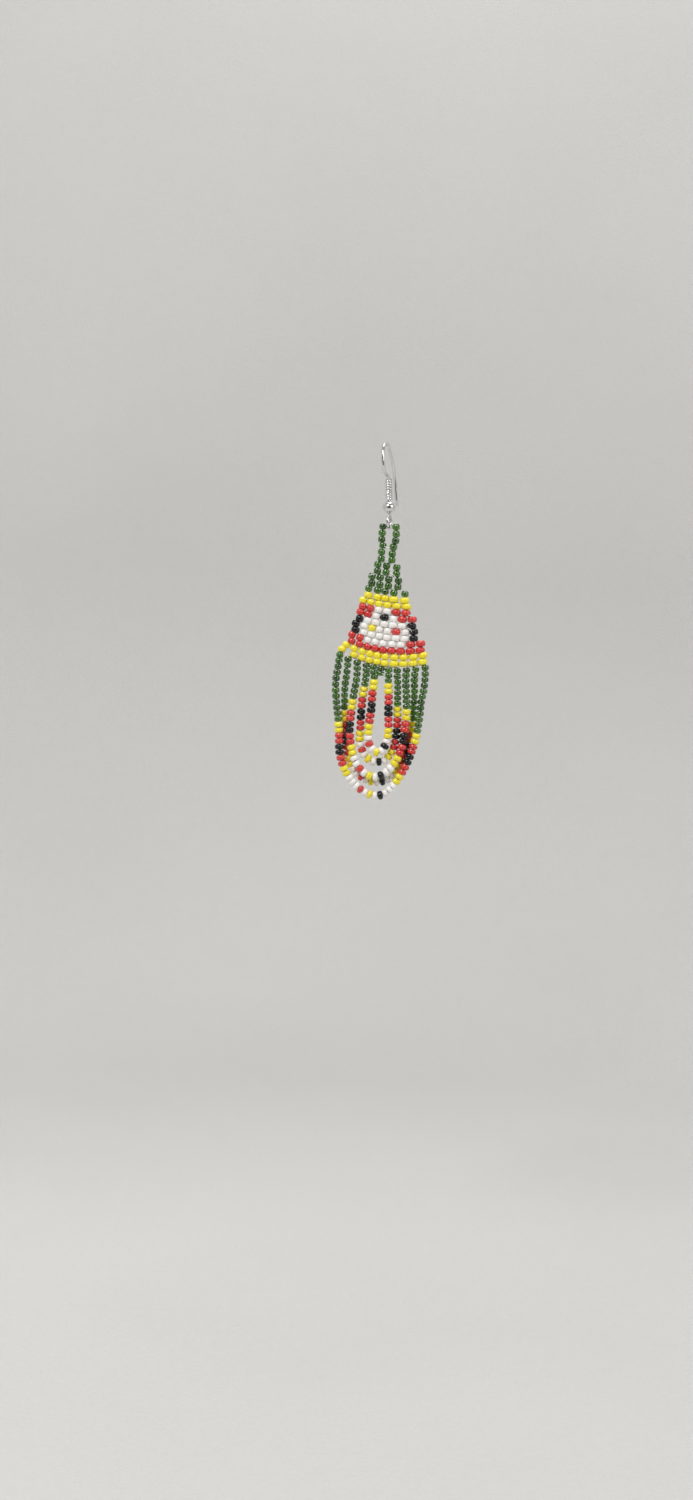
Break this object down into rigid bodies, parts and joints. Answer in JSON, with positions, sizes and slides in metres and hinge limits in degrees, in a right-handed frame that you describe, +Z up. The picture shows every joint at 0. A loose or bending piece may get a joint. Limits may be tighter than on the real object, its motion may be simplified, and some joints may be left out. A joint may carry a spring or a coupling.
{
  "type": "beaded drop earring",
  "caption": "Drop earring: a bent wire hook with a coil and a ball, a stepped triangle of woven seed beads and a fringe of nested bead loops, hanging free.",
  "frame": {"origin": "inside top of the ear wire's bend, where it sits in the ear", "axes": "+Z up along the hanging length, +X across the bead panel to the right as seen from its face, -Y out of its face"},
  "size_m": [0.0231, 0.0115, 0.085],
  "materials": {
    "metal": "bright silver-plated wire",
    "green_glass": "transparent dark green seed beads",
    "panel_glass": "opaque glossy seed beads in white, red, yellow and black",
    "fringe_glass": "seed beads: green above, opaque yellow, red, black and white below"
  },
  "bodies": {
    "ear_wire": {"ear_hook": "metal", "wrap_coil": "metal", "round_ball": "metal"},
    "drop": {"hanging_loop": "green_glass", "bead_panel": "panel_glass", "fringe_loop_1": "fringe_glass", "fringe_loop_2": "fringe_glass", "fringe_loop_3": "fringe_glass", "fringe_loop_4": "fringe_glass", "fringe_loop_5": "fringe_glass"}
  },
  "joints": [
    {"name": "drop_swing", "type": "hinge", "parent": "ear_wire", "child": "drop", "pos_m": [0.00184, 0.00114, -0.01949], "axis": [0.309, 0.9511, 0], "range_deg": [-20, 20]}
  ]
}
